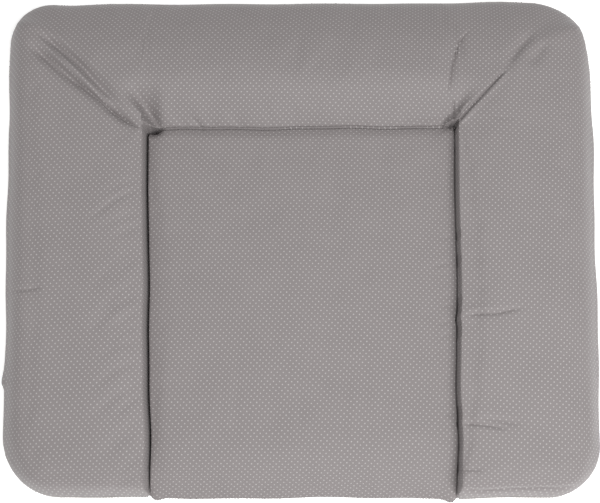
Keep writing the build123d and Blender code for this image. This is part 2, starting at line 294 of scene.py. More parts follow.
def cover_height(x, y, wedge_top, panel_top):
    """Outer face of the top sheet."""
    rim, seam = np.maximum(rim_distance(x, y), 0), seam_distance(x, y)
    base = RIM_Z + SHEET
    front = np.maximum(0, 1 - (y - FRONT_Y) / PANEL_FRONT_ROLL) ** 2
    floor = VALLEY_Z + valley_lift(x, y)
    valley = floor + (base - floor) * front
    panel = on_panel(x, y)
    top = np.where(panel, panel_top, wedge_top)
    at_back = back_share(x, y)
    back_wedge = np.where(panel, 0.0, at_back)
    share = np.where(panel, PANEL_STEEP_SHARE,
                     WEDGE_STEEP_SHARE + (BACK_STEEP_SHARE - WEDGE_STEEP_SHARE) * back_wedge)
    height = (top - valley) * share
    edge = np.where(panel, np.where(x > 0, PANEL_RIGHT_EDGE, PANEL_EDGE),
                    np.where(x > 0, WEDGE_RIGHT_EDGE, WEDGE_EDGE))
    sharp = seam_wall(seam, height, edge, np.where(panel | (x > 0), PANEL_WALL, WEDGE_WALL))
    soft = np.where(panel, crown(seam, PANEL_BACK_EDGE, PANEL_BACK_POWER),
                    crown(seam, WEDGE_BACK_EDGE, WEDGE_BACK_POWER))
    steep = sharp + (soft - sharp) * at_back
    run = np.where(panel, PANEL_CROWN_RUN,
                   WEDGE_CROWN_RUN + (BACK_CROWN_RUN - WEDGE_CROWN_RUN) * back_wedge)
    roll, power = wedge_roll(x, y)
    roll, power = np.where(panel, PANEL_FRONT_ROLL, roll), np.where(panel, PANEL_ROUNDING, power)
    inner = valley + (top - valley) * (share * steep + (1 - share) * crown(seam, run, 2))
    tight = np.where(panel, 0, BACK_TIGHT_SHARE * (power < SIDE_ROUNDING) * (SIDE_ROUNDING - power)
                     / (SIDE_ROUNDING - BACK_ROUNDING))
    rolled = (1 - tight) * crown(rim, roll, power) + tight * crown(rim, TIGHT_ROLL, 3)
    outer = base + (top - base) * rolled
    return np.maximum(smooth_min(inner, outer), np.minimum(valley, base)) + SHEET


def underside_height(x, y):
    """Outer face of the bottom sheet: flat, turned up at the rim and pulled up at the inner seams."""
    short = UNDER_ROLL - np.clip(rim_distance(x, y), 0, UNDER_ROLL)
    roll = UNDER_RADIUS - np.sqrt(UNDER_RADIUS**2 - short**2)
    return np.maximum(roll, GROOVE_Z * swelling(seam_distance(x, y), 0, 5))


# ---------- folds ----------
class Fold:
    """A line pressed into the cover: depth and width in mm. Sharp folds drop on one side only."""

    def __init__(self, route, depth, width, sharp=0, ends=12.0):
        self.route, self.depth, self.width, self.sharp, self.ends = route, depth, width, sharp, ends
        self.length = sum(hypot(b[0] - a[0], b[1] - a[1]) for a, b in zip(route, route[1:]))

    def drop(self, x, y):
        distance, side, share, *_ = along_route(x, y, self.route)
        fade = smooth_step(np.minimum(share, 1 - share) * self.length / self.ends)
        form = swelling(distance, 0, self.width)
        if self.sharp:
            edge = np.clip(0.5 + self.sharp * side * distance / 1.6, 0, 1)
            form = np.exp(-distance / self.width) * edge
        return self.depth * fade * form


def seam_puckers(way, low, high, count, reach, depth, width, seed):
    """Short gathers beside a side seam, all a little different. The way is the seam's side of the pad,
    the gathers' slope, and the side of the seam on which they lie."""
    random = Random(seed)
    folds = []
    pad_side, slope, seam_side = way
    seam = left_seam if pad_side < 0 else right_seam
    for i in range(count):
        y = low + (high - low) * (i + random.uniform(0.2, 0.8)) / count
        run = reach * random.uniform(0.55, 1.2)
        fall = run * slope * random.uniform(0.6, 1.3)
        x = seam(y) + seam_side * 3
        mid = (x + seam_side * run * 0.5, y + fall * 0.4)
        end = (x + seam_side * run, y + fall)
        folds.append(Fold(((x, y), mid, end), depth * random.uniform(0.6, 1.2),
                          width * random.uniform(0.8, 1.3), ends=run * 0.45))
    return folds


def cover_folds():
    """Pleats of the back corners, creases of the side wedges and gathers beside the seams."""
    folds = [
        # back left corner: two grooves with a rounded ridge between them
        Fold(((-388, 303), (-344, 270), (-311, 240), (-286, 214), (-262, 188), (-247, 173)),
             11.0, 8.0, ends=50),
        Fold(((-395, 281), (-370, 260), (-342, 237), (-311, 212), (-290, 196), (-268, 178), (-252, 167),
              (-233, 154), (-220, 150)), 10.0, 7.5, ends=40),
        Fold(((-330, 227), (-311, 212), (-290, 196), (-268, 178), (-252, 167), (-233, 154), (-219, 149)),
             4.5, 2.0, ends=26),
        Fold(((-360, 262), (-325, 236), (-300, 212), (-274, 188), (-256, 173)), -4.5, 9, ends=30),
        # back right corner: a deep tuck, two close pleat lines and a soft hollow
        Fold(((215, 153), (217, 172), (219, 195)), 1.8, 1.8, ends=8),
        Fold(((209, 194), (212, 219), (216, 244), (221, 260), (227, 280), (236, 293), (247, 304)),
             5.5, 7, sharp=-1, ends=30),
        Fold(((212, 215), (220, 255), (236, 290)), 1.5, 13, ends=25),
        Fold(((217, 152), (240, 178), (266, 206), (293, 235)), 4.5, 1.9, ends=14),
        Fold(((223, 152), (247, 178), (272, 205), (297, 233)), -2.0, 2.8, ends=14),
        Fold(((219, 161), (230, 174), (242, 188)), 1.8, 1.6, ends=8),
        Fold(((285, 228), (297, 246), (311, 267), (329, 289), (341, 304)), 4.8, 7.0, ends=36),
        Fold(((324, 238), (341, 261), (356, 283)), 3.6, 8.5, ends=20),
        Fold(((158, 171), (190, 172), (219, 174)), -0.9, 1.8, ends=16),
        # right wedge
        Fold(((217, -119), (239, -115), (264, -115), (287, -110), (306, -108)), 2.6, 2.8, ends=26),
        Fold(((217, -112), (240, -108), (270, -107)), -1.4, 5.0, ends=20),
        Fold(((210, -262), (227, -262), (251, -265), (276, -270)), 2.6, 2.4, ends=20),
        Fold(((234, -255), (265, -258), (295, -264)), 1.8, 4.0, ends=20),
        Fold(((210, -322), (228, -322), (238, -323)), 1.8, 1.8, ends=9),
        Fold(((212, -346), (226, -348), (236, -350), (260, -348), (300, -346), (340, -346), (368, -343)),
             2.4, 2.4, ends=16),
        # back seam, where the thread pulls the cover down
        Fold(inner_seam_plan("back")[::6], 3.0, 1.4, ends=8),
        # left wedge, back wedge
        Fold(((-396, -84), (-372, -83), (-347, -79)), 2.2, 2.6, ends=14),
        Fold(((-408, -206), (-396, -204), (-380, -201)), 1.2, 2.2, ends=9),
        Fold(((-157, 172), (-147, 166), (-136, 152)), 1.3, 2.2, ends=9),
        # panel corner at the left end of the back seam
        Fold(((-214, 150), (-196, 138), (-176, 131)), 1.0, 5.0, ends=18),
    ]
    for pucker in (((-1, -0.75, -1), -330, 95, 18, 66, 1.15, 4.2, 3),
                   ((-1, -0.2, 1), -330, 130, 16, 17, 0.5, 3.2, 5),
                   ((1, -0.25, -1), -285, 10, 17, 34, 0.8, 2.6, 7),
                   ((1, -0.3, 1), -330, 140, 15, 30, 0.5, 3.8, 11)):
        folds += seam_puckers(*pucker)
    return folds


def fold_drop(x, y, folds):
    total = np.zeros(np.shape(x))
    for fold in folds:
        total += fold.drop(x, y)
    return total


def unevenness(x, y, size, seed):
    """Smooth noise from -1 to 1 over points of the plan, with lumps of the size given in mm."""
    shift = Vector((seed * 17.3, seed * 5.1, seed * 11.7))
    flat = [noise.noise(Vector((a / size, b / size, 0)) + shift)
            for a, b in zip(np.ravel(x), np.ravel(y))]
    return np.reshape(flat, np.shape(x))


# ---------- meshes ----------
def spread(length, first, last, coarse, reach=26.0):
    """Shares from 0 to 1 along a span, close together at its ends."""
    halves = []
    for fine in (first, last):
        stops = [0.0]
        while stops[-1] < length / 2:
            stops.append(stops[-1] + fine + (coarse - fine) * min(stops[-1] / reach, 1))
        halves.append(np.array(stops) / stops[-1] / 2)
    return np.concatenate([halves[0], 1 - halves[1][-2::-1]])


def cover_plan(at_rim, at_seam, coarse):
    """Grid over the whole pad, with lines along the rim and the inner seams."""
    front = spread(BACK_SEAM_Y - FRONT_Y, at_rim, at_seam, coarse)
    back = spread(BACK_Y - BACK_SEAM_Y, at_seam, at_rim, coarse)
    rows = np.concatenate([FRONT_Y + front * (BACK_SEAM_Y - FRONT_Y),
                           BACK_SEAM_Y + back[1:] * (BACK_Y - BACK_SEAM_Y)])[:, None]
    side = spread(WEDGE_WIDTH, at_rim, at_seam, coarse)[None, :]
    middle = spread(PANEL_WIDTH, at_seam, at_seam, coarse)[None, :]
    left = left_rim(rows) + side * (left_seam(rows) - left_rim(rows))
    panel = left_seam(rows) + middle * (right_seam(rows) - left_seam(rows))
    right = right_seam(rows) + (1 - side[:, ::-1]) * (right_rim(rows) - right_seam(rows))
    x = np.concatenate([left, panel[:, 1:], right[:, 1:]], axis=1)
    sewn_rows = {len(front) - 1}
    sewn_columns = {side.shape[1] - 1, side.shape[1] + middle.shape[1] - 2}
    return (*rounded(x, np.broadcast_to(rows, x.shape)), sewn_rows, sewn_columns)


def smoothed(field, passes):
    """Averages a grid with its neighbours, again and again."""
    for _ in range(passes):
        padded = np.pad(field, 1, mode="edge")
        field = (padded[:-2, 1:-1] + padded[2:, 1:-1] + padded[1:-1, :-2] + padded[1:-1, 2:]
                 + 4 * padded[1:-1, 1:-1]) / 8
    return field


def add_object(name, data):
    piece = bpy.data.objects.new(name, data)
    bpy.context.scene.collection.objects.link(piece)
    return piece


def smooth_piece(name, work):
    """Turns a bmesh into a smooth mesh object at the origin."""
    for face in work.faces:
        face.smooth = True
    mesh = bpy.data.meshes.new(name)
    work.to_mesh(mesh)
    work.free()
    return add_object(name, mesh)


def new_piece(name, points, faces, smooth=True):
    """A mesh object at the origin; points are in mm."""
    mesh = bpy.data.meshes.new(name)
    mesh.from_pydata([tuple(p) for p in np.asarray(points) * MM], [], faces)
    mesh.update()
    mesh.polygons.foreach_set("use_smooth", [smooth] * len(mesh.polygons))
    return add_object(name, mesh)


def grid_faces(rows, columns):
    return [(i * columns + j, i * columns + j + 1, (i + 1) * columns + j + 1, (i + 1) * columns + j)
            for i in range(rows - 1) for j in range(columns - 1)]


def applied(piece):
    """Turns a piece's modifiers into plain mesh, and removes them."""
    graph = bpy.context.evaluated_depsgraph_get()
    mesh = bpy.data.meshes.new_from_object(piece.evaluated_get(graph), depsgraph=graph)
    name, old = piece.name, piece.data
    bpy.data.objects.remove(piece)
    bpy.data.batch_remove([old])
    mesh.name = name
    return add_object(name, mesh)


def grid_normals(points):
    """Unit normals of a grid of points, rows by columns by three."""
    across, along = np.gradient(points, axis=1), np.gradient(points, axis=0)
    normals = np.cross(across, along)
    return normals / np.maximum(np.linalg.norm(normals, axis=2, keepdims=True), 1e-9)


def swell(points, sewn, settings):
    """Blows the cover up from its sewn lines, and returns how far each point of the grid moves out."""
    rows, columns = points.shape[:2]
    piece = new_piece("cover_being_filled", points.reshape(-1, 3), grid_faces(rows, columns))
    group = piece.vertex_groups.new(name="sewn")
    group.add([int(i) for i in np.flatnonzero(sewn)], 1.0, "REPLACE")
    cloth = piece.modifiers.new("Filling", "CLOTH")
    for name, value in {"quality": 5, "mass": 0.2, "tension_stiffness": 25, "compression_stiffness": 25,
                        "shear_stiffness": 12, "bending_stiffness": 0.3, "use_pressure": True,
                        "uniform_pressure_force": settings.pressure, "shrink_min": -settings.spare_cloth,
                        "vertex_group_mass": group.name}.items():
        setattr(cloth.settings, name, value)
    cloth.settings.effector_weights.gravity = 0
    cloth.point_cache.frame_start, cloth.point_cache.frame_end = 1, settings.frames
    scene = bpy.context.scene
    for step in range(1, settings.frames + 1):
        scene.frame_set(step)
    graph = bpy.context.evaluated_depsgraph_get()
    filled = piece.evaluated_get(graph).to_mesh()
    moved = np.empty(len(filled.vertices) * 3)
    filled.vertices.foreach_get("co", moved)
    moved = moved.reshape(points.shape) / MM - points
    piece.evaluated_get(graph).to_mesh_clear()
    piece.modifiers.clear()
    bpy.data.objects.remove(piece)
    scene.frame_set(1)
    return (moved * grid_normals(points)).sum(axis=2)


def blend_between(values, at_row, at_column):
    """Smooth values of a grid at places between its lines (Catmull-Rom)."""
    rows, columns = values.shape[:2]

    def weights(t):
        return ((-t + 2 * t**2 - t**3) / 2, (2 - 5 * t**2 + 3 * t**3) / 2,
                (t + 4 * t**2 - 3 * t**3) / 2, (t**3 - t**2) / 2)
    i, j = np.floor(at_row).astype(int), np.floor(at_column).astype(int)
    i, j = np.clip(i, 0, rows - 2), np.clip(j, 0, columns - 2)
    total = 0
    for a, weight_a in zip(range(-1, 3), weights(at_row - i)):
        for b, weight_b in zip(range(-1, 3), weights(at_column - j)):
            at = values[np.clip(i + a, 0, rows - 1), np.clip(j + b, 0, columns - 1)]
            total = total + at * (weight_a * weight_b)[:, None]
    return total


def wall_spare(seam, profile):
    """How much cloth a seam's wall and edge take up beyond their width in plan, from a point up."""
    stops = np.linspace(0, 80, 800)
    rise = np.diff(profile(stops))
    spare = np.concatenate([[0], np.cumsum(np.hypot(np.diff(stops), rise) - np.diff(stops))])
    return np.interp(seam, stops, spare[-1] - spare)


def woven_place(x, y):
    """Where a point of the plan lies on the flat cloth, mm: the cloth runs on over the rolled rim and
    down the walls beside the inner seams."""
    seam, _, _, way_x, way_y = along_route(x, y, inner_seams())
    raised, back, panel = valley_lift(x, y) / VALLEY_LIFT, back_share(x, y), on_panel(x, y)
    # rise, edge and wall, for the panel and for the wedge: at the low left seam, at a raised seam
    low, high = (np.where(panel, *(wall_spare(seam, lambda d: rise * seam_wall(d, rise, edge, wall))
                                   for rise, edge, wall in sides))
                 for sides in (((36, PANEL_EDGE, PANEL_WALL), (57, WEDGE_EDGE, WEDGE_WALL)),
                               ((13, PANEL_EDGE, PANEL_WALL), (34, WEDGE_EDGE, PANEL_WALL))))
    soft = np.where(panel, *(wall_spare(seam, lambda d: rise * crown(d, run, power))
                             for rise, run, power in ((7, PANEL_BACK_EDGE, PANEL_BACK_POWER),
                                                      (30, WEDGE_BACK_EDGE, WEDGE_BACK_POWER))))
    spare = low + (high - low) * raised
    spare = spare + (soft - spare) * back
    seam_x, seam_y = seam_wander(x, y)
    side, end = rim_offsets(x, y)
    u = x + seam_x + np.sign(x) * RIM_SPARE * np.maximum(0, 1 - side / RIM_RUN) ** 2 - way_x * spare
    v = y + seam_y + np.sign(y) * RIM_SPARE * np.maximum(0, 1 - end / RIM_RUN) ** 2 - way_y * spare
    return np.stack([u + LAY_ACROSS * v, v + LAY_ALONG * u + LAY_PULL * u * u], axis=-1)


# Folds steeper than this, depth by width, get a finer mesh, and how far from the fold it reaches
CUT_STEEPNESS, CUT_REACH = (0.3, 0.8), (4.5, 1.6)


def sheet_mesh(name, points, plan, folds, outward, reach):
    """A sheet of cloth over a grid of points, cut finer beside its folds, with the folds pressed in."""
    rows, columns = points.shape[:2]
    cut = bmesh.new()
    bmesh.ops.create_grid(cut, x_segments=columns - 1, y_segments=rows - 1, size=0.5)
    for vertex in cut.verts:
        column, row = (vertex.co.x + 0.5) * (columns - 1), (vertex.co.y + 0.5) * (rows - 1)
        vertex.co = (round(column), round(row), 0)
    for level in range(2):
        centres = np.array([face.calc_center_median()[:2] for face in cut.faces])
        where = blend_between(points, centres[:, 1], centres[:, 0])
        close = np.zeros(len(where), bool)
        for fold in folds:
            if fold.depth / fold.width > CUT_STEEPNESS[level] or (fold.sharp and fold.depth > 1):
                close |= along_route(*where[:, :2].T, fold.route)[0] < reach * CUT_REACH[level]
        edges = {edge for face, fine in zip(cut.faces, close) if fine for edge in face.edges}
        bmesh.ops.subdivide_edges(cut, edges=list(edges), cuts=1, use_grid_fill=True)
    cut.verts.ensure_lookup_table()
    places = np.array([v.co[:2] for v in cut.verts])
    at = blend_between(points, places[:, 1], places[:, 0])
    normals = blend_between(grid_normals(points), places[:, 1], places[:, 0])
    normals /= np.linalg.norm(normals, axis=1, keepdims=True)
    at = at - outward * normals * fold_drop(at[:, 0], at[:, 1], folds)[:, None]
    # each corner of a face reads the cloth a hair inside the face, so the print breaks at a seam
    inside = np.array([loop.vert.co.lerp(face.calc_center_median(), 0.03)[:2]
                       for face in cut.faces for loop in face.loops])
    flat = blend_between(plan, inside[:, 1], inside[:, 0])
    woven = woven_place(flat[:, 0], flat[:, 1]) * MM
    for vertex, place in zip(cut.verts, at * MM):
        vertex.co = place
    layer = cut.loops.layers.uv.new("weave")
    corners = (loop for face in cut.faces for loop in face.loops)
    for corner, place in zip(corners, woven):
        corner[layer].uv = place
    if outward < 0:
        bmesh.ops.reverse_faces(cut, faces=cut.faces)
    piece = smooth_piece(name, cut)
    shell = piece.modifiers.new("Cloth thickness", "SOLIDIFY")
    shell.thickness, shell.offset = SHEET * MM, -1
    return applied(piece)


def dress(piece, material, slot, *nodes):
    """Gives a finished piece its material and body, and hides the CAD nodes that it stands for; the slot is
    not used.
    """
    piece.data.materials.clear()
    piece.data.materials.append(material)
    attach(piece, "root")
    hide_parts(*nodes)


def surface_of(name):
    piece = bpy.data.objects[name]
    return BVHTree.FromPolygons([v.co[:] for v in piece.data.vertices],
                                [p.vertices[:] for p in piece.data.polygons])


# ---------- materials ----------
def linear(hex_colour):
    """sRGB hex to linear red, green, blue and alpha."""
    channels = [int(hex_colour[i:i + 2], 16) / 255 for i in (1, 3, 5)]
    return (*(c / 12.92 if c <= 0.04045 else ((c + 0.055) / 1.055) ** 2.4 for c in channels), 1.0)


def add_node(tree, kind, inputs=None, **settings):
    """Adds a node. Settings are its properties; inputs are values, sockets or nodes' first sockets."""
    node = tree.nodes.new(kind)
    for name, value in settings.items():
        setattr(node, name, value)
    for name, value in (inputs or {}).items():
        if isinstance(value, bpy.types.Node):
            value = value.outputs[0]
        if isinstance(value, bpy.types.NodeSocket):
            tree.links.new(value, node.inputs[name])
        else:
            node.inputs[name].default_value = value
    return node


def new_material(name):
    """An empty material, its tree, and the place on the piece that its patterns read."""
    material = bpy.data.materials.new(name)
    material.use_nodes = True
    tree = material.node_tree
    tree.nodes.clear()
    return material, tree, add_node(tree, "ShaderNodeTexCoord").outputs["Object"]


def finished(material, finish, relief=None, strength=0.0, depth=0.0):
    """Ends a material in its shader, with a relief of the depth given."""
    tree = material.node_tree
    if relief:
        finish["Normal"] = add_node(tree, "ShaderNodeBump", {
            "Height": relief, "Strength": strength, "Distance": depth})
    shader = add_node(tree, "ShaderNodeBsdfPrincipled", finish)
    add_node(tree, "ShaderNodeOutputMaterial", {"Surface": shader})
    return material


def woven_material(name, ground, pitch, roughness, sheen, dots=None):
    """A woven cloth with yarns at the pitch given, faint mottling and, if asked, printed dots."""
    material, tree, place = new_material(name)
    cloth = add_node(tree, "ShaderNodeUVMap", uv_map="weave")
    mottle = add_node(tree, "ShaderNodeTexNoise", {"Vector": place, "Scale": 22.0, "Detail": 3.0})
    shade = add_node(tree, "ShaderNodeMapRange", {
        "Value": mottle, "From Min": 0.3, "From Max": 0.7, "To Min": 0.975, "To Max": 1.025})
    base = add_node(tree, "ShaderNodeMix", {"Factor": 1.0, 6: ground, 7: shade},
                    data_type="RGBA", blend_type="MULTIPLY").outputs[2]
    fibres = add_node(tree, "ShaderNodeTexNoise", {"Vector": cloth, "Scale": 260.0, "Detail": 2.0})
    if dots:
        colour, spacing, diameter = dots
        turned = add_node(tree, "ShaderNodeMapping", {
            "Vector": cloth, "Rotation": (0, 0, radians(45)), "Scale": (1 / spacing,) * 3})
        cell = add_node(tree, "ShaderNodeVectorMath", {0: turned}, operation="FRACTION")
        middle = add_node(tree, "ShaderNodeVectorMath", {0: cell, 1: (0.5, 0.5, 0)}, operation="SUBTRACT")
        away = add_node(tree, "ShaderNodeVectorMath", {0: middle}, operation="LENGTH").outputs["Value"]
        rough_edge = add_node(tree, "ShaderNodeMath", {0: fibres, 1: 0.06, 2: away},
                              operation="MULTIPLY_ADD")
        rim = diameter / spacing / 2 + 0.03
        ink = add_node(tree, "ShaderNodeMapRange", {
            "Value": rough_edge, "From Min": rim - 0.02, "From Max": rim + 0.02, "To Min": 1.0,
            "To Max": 0.0})
        base = add_node(tree, "ShaderNodeMix", {"Factor": ink, 6: base, 7: colour},
                        data_type="RGBA").outputs[2]
    gloss = add_node(tree, "ShaderNodeMapRange", {
        "Value": mottle, "To Min": roughness - 0.05, "To Max": roughness + 0.05})
    # plain weave: yarns that pass over and under each other, one pitch apart
    yarns = add_node(tree, "ShaderNodeVectorMath", {0: cloth, "Scale": 2 * pi / pitch}, operation="SCALE")
    waves = [add_node(tree, "ShaderNodeMath", {0: way}, operation="SINE")
             for way in add_node(tree, "ShaderNodeSeparateXYZ", {0: yarns}).outputs[:2]]
    over = add_node(tree, "ShaderNodeMath", dict(enumerate(waves)), operation="MULTIPLY")
    weave = add_node(tree, "ShaderNodeMath", {0: over, 1: 0.5, 2: 0.5}, operation="MULTIPLY_ADD")
    relief = add_node(tree, "ShaderNodeMath", {0: fibres, 1: 0.6, 2: weave}, operation="MULTIPLY_ADD")
    return finished(material, {"Base Color": base, "Roughness": gloss, "Sheen Weight": sheen,
                               "Sheen Roughness": 0.5, "Specular IOR Level": 0.35}, relief, 0.35, 0.0001)


def dotted_cotton():
    """Cotton with a thin clear coating and printed dots: nearly matt, with a faint soft gloss."""
    fabric = bpy.context.scene.pad_fabric
    return woven_material("Coated cotton, dotted", (*fabric.ground, 1), 0.0006, 0.62, 0.08,
                          ((*fabric.dots, 1), fabric.dot_spacing, fabric.dot_diameter))


def backing_cloth():
    """Plain pale polyester backing: flat weave, slightly rough to grip the table."""
    return woven_material("Polyester backing cloth", (*bpy.context.scene.pad_fabric.backing, 1),
                          0.0009, 0.7, 0.15)


def cut_foam():
    """Polyurethane foam cut with a hot wire: cream, dull, with open cells about a millimetre wide, their pits
    painted darker as painted shade.
    """
    material, tree, place = new_material("Polyurethane foam")
    cells = add_node(tree, "ShaderNodeTexVoronoi", {"Vector": place, "Scale": 700.0})
    # painted shade: the darker cream fills the pits of the cells and the paler cream their walls, from the
    # same field as their relief
    colour = add_node(tree, "ShaderNodeMix", {"Factor": cells, 6: linear("#C9BC92"), 7: linear("#F1E9CE")},
                      data_type="RGBA").outputs[2]
    return finished(material, {"Base Color": colour, "Roughness": 0.92, "Specular IOR Level": 0.2},
                    cells, 0.6, 0.0006)


def polyester_fleece():
    """Carded polyester wadding: white, soft, with tangled fibres that catch the light."""
    material, tree, place = new_material("Polyester wadding")
    stretched = add_node(tree, "ShaderNodeMapping", {
        "Vector": place, "Scale": (90, 420, 260), "Rotation": (0, 0, radians(28))})
    fibres = add_node(tree, "ShaderNodeTexNoise", {
        "Vector": stretched, "Scale": 1.0, "Detail": 6.0, "Distortion": 2.5})
    colour = add_node(tree, "ShaderNodeMix", {"Factor": fibres, 6: linear("#DAD8D2"), 7: linear("#F6F5F1")},
                      data_type="RGBA").outputs[2]
    return finished(material, {"Base Color": colour, "Roughness": 0.95, "Sheen Weight": 0.5,
                               "Sheen Roughness": 0.6, "Specular IOR Level": 0.2}, fibres, 0.8, 0.0015)


def spun_thread():
    """Spun polyester sewing thread: two twisted plies with a slight fuzz."""
    material, tree, place = new_material("Spun polyester thread, grey")
    colour = (*bpy.context.scene.pad_fabric.thread, 1)
    plies = add_node(tree, "ShaderNodeTexWave", {"Vector": place, "Scale": 600.0, "Distortion": 1.0},
                     bands_direction="DIAGONAL").outputs["Fac"]
    lit = tuple(min(1, c * 1.25) for c in colour)
    shade = add_node(tree, "ShaderNodeMix", {"Factor": plies, 6: colour, 7: lit},
                     data_type="RGBA").outputs[2]
    return finished(material, {"Base Color": shade, "Roughness": 0.6, "Sheen Weight": 0.3,
                               "Specular IOR Level": 0.4}, plies, 0.5, 0.0001)


def white_board():
    """Painted board for the floor: matt and near white, so bright that the ground falls away."""
    material, tree, place = new_material("Matt white board")
    grain = add_node(tree, "ShaderNodeTexNoise", {"Vector": place, "Scale": 12.0})
    colour = add_node(tree, "ShaderNodeMix", {"Factor": grain, 6: (*bpy.context.scene.pad_stage.floor, 1),
                                              7: linear("#FBFBFB")}, data_type="RGBA").outputs[2]
    return finished(material, {"Base Color": colour, "Roughness": 0.9, "Specular IOR Level": 0.2,
                               "Emission Color": (1, 1, 1, 1), "Emission Strength": 0.42})


# ---------- sewing ----------
def stitch_tree():
    """Geometry Nodes: lays separate rounded stitches along a route."""
    tree = bpy.data.node_groups.get("Lockstitch row")
    if tree:
        return tree
    tree = bpy.data.node_groups.new("Lockstitch row", "GeometryNodeTree")
    sockets = tree.interface
    sockets.new_socket("Route", in_out="INPUT", socket_type="NodeSocketGeometry")
    for name, size in (("Pitch", 0.005), ("Stitch length", 0.0036), ("Thread diameter", 0.0008)):
        socket = sockets.new_socket(name, in_out="INPUT", socket_type="NodeSocketFloat")
        socket.default_value, socket.subtype = size, "DISTANCE"
    sockets.new_socket("Seed", in_out="INPUT", socket_type="NodeSocketInt").default_value = 4
    sockets.new_socket("Thread", in_out="INPUT", socket_type="NodeSocketMaterial")
    sockets.new_socket("Stitches", in_out="OUTPUT", socket_type="NodeSocketGeometry")
    enter = add_node(tree, "NodeGroupInput").outputs
    points = add_node(tree, "GeometryNodeCurveToPoints", {
        "Curve": enter["Route"], "Length": enter["Pitch"]}, mode="LENGTH").outputs
    wobble = add_node(tree, "FunctionNodeRandomValue", {
        "Min": (-0.0003, -0.0003, -0.00005), "Max": (0.0003, 0.0003, 0.00005), "Seed": enter["Seed"]},
        data_type="FLOAT_VECTOR")
    moved = add_node(tree, "GeometryNodeSetPosition", {"Geometry": points["Points"], "Offset": wobble})
    turned = add_node(tree, "FunctionNodeAlignRotationToVector", {"Vector": points["Tangent"]}, axis="X")
    bead = add_node(tree, "GeometryNodeMeshUVSphere", {"Segments": 8, "Rings": 6, "Radius": 0.5})
    smooth = add_node(tree, "GeometryNodeSetShadeSmooth", {"Geometry": bead})
    size = add_node(tree, "ShaderNodeCombineXYZ", {
        0: enter["Stitch length"], 1: enter["Thread diameter"], 2: enter["Thread diameter"]})
    row = add_node(tree, "GeometryNodeInstanceOnPoints", {
        "Points": moved, "Instance": smooth, "Rotation": turned, "Scale": size})
    real = add_node(tree, "GeometryNodeRealizeInstances", {"Geometry": row})
    done = add_node(tree, "GeometryNodeSetMaterial", {"Geometry": real, "Material": enter["Thread"]})
    add_node(tree, "NodeGroupOutput", {"Stitches": done})
    return tree


def sew(name, node, routes, thread, pitch=5.0, length=3.8, diameter=0.9):
    """A row of stitches along each route, for a CAD node; the routes are lists of points in mm."""
    curve = bpy.data.curves.new(name, "CURVE")
    curve.dimensions = "3D"
    for route in routes:
        line = curve.splines.new("POLY")
        line.points.add(len(route) - 1)
        for point, place in zip(line.points, route):
            point.co = (*(c * MM for c in place), 1)
    piece = add_object(name, curve)
    sewing = piece.modifiers.new("Lockstitch row", "NODES")
    sewing.node_group = tree = stitch_tree()
    values = {"Pitch": pitch * MM, "Stitch length": length * MM, "Thread diameter": diameter * MM,
              "Seed": 4, "Thread": thread}
    for socket in tree.interface.items_tree:
        if socket.in_out == "INPUT" and socket.name in values:
            sewing[socket.identifier] = values[socket.name]
    dress(applied(piece), thread, "thread", node)


def between(points, gap=4.0):
    """Points at even gaps along straight runs in plan."""
    placed = []
    for a, b in zip(points, points[1:]):
        count = ceil(hypot(b[0] - a[0], b[1] - a[1]) / gap)
        placed += [(a[0] + (b[0] - a[0]) * k / count, a[1] + (b[1] - a[1]) * k / count)
                   for k in range(count)]
    return placed + [points[-1]]


def laid_on(surface, plan, lift, from_below=False):
    """Drops a plan route on a surface, and lifts it off by a few tenths of a millimetre."""
    start, way = (-0.05, Vector((0, 0, 1))) if from_below else (0.2, Vector((0, 0, -1)))
    route = []
    for x, y in plan:
        hit = surface.ray_cast(Vector((x * MM, y * MM, start)), way)[0]
        if hit:
            route.append((x, y, hit.z / MM + (-lift if from_below else lift)))
    return route


def inner_seam_plan(which):
    left, right = seam_corners()
    if which == "back":
        plan = between((left, right))
    else:
        seam, corner = (left_seam, left) if which == "left" else (right_seam, right)
        plan = between(((seam(FRONT_Y + 6), FRONT_Y + 6), corner))
    x, y = (np.array(values) for values in zip(*plan))
    return list(zip(*strayed(x, y)))


# ---------- settings ----------
class PadShape(bpy.types.PropertyGroup):
    wedge_top: FloatProperty(name="Wedge height", description="Height of the wedges' crest",
                             default=TOP_BOX[1].z + 0.0014, unit="LENGTH")
    panel_top: FloatProperty(name="Panel height", description="Height of the lying panel",
                             default=0.046, unit="LENGTH")
    fill_gap: FloatProperty(name="Filling gap", description="Room between the cover and the filling",
                            default=0.0055, unit="LENGTH")
    cover_mesh: FloatProperty(name="Cover mesh", description="Edge length of the cover's mesh",
                              default=0.0048, unit="LENGTH")
    pressure: FloatProperty(name="Pressure", description="Pressure of the filling on the cover", default=4.0)
    spare_cloth: FloatProperty(name="Spare cloth", description="Share by which the cloth is cut too wide",
                               default=0.012)
    frames: IntProperty(name="Steps", description="Steps of the filling simulation", default=20)


class PadFabric(bpy.types.PropertyGroup):
    ground: FloatVectorProperty(name="Ground", description="Colour of the cover", subtype="COLOR",
                                default=linear("#948E8E")[:3])
    dots: FloatVectorProperty(name="Dots", description="Colour of the printed dots", subtype="COLOR",
                              default=linear("#BFBBBA")[:3])
    dot_spacing: FloatProperty(name="Dot spacing", description="Distance between neighbouring dots",
                               default=0.0058, unit="LENGTH")
    dot_diameter: FloatProperty(name="Dot diameter", description="Width of a dot", default=0.0019,
                                unit="LENGTH")
    backing: FloatVectorProperty(name="Backing", description="Colour of the bottom sheet", subtype="COLOR",
                                 default=linear("#DEDBD6")[:3])
    thread: FloatVectorProperty(name="Thread", description="Colour of the sewing thread", subtype="COLOR",
                                default=linear("#8A8585")[:3])


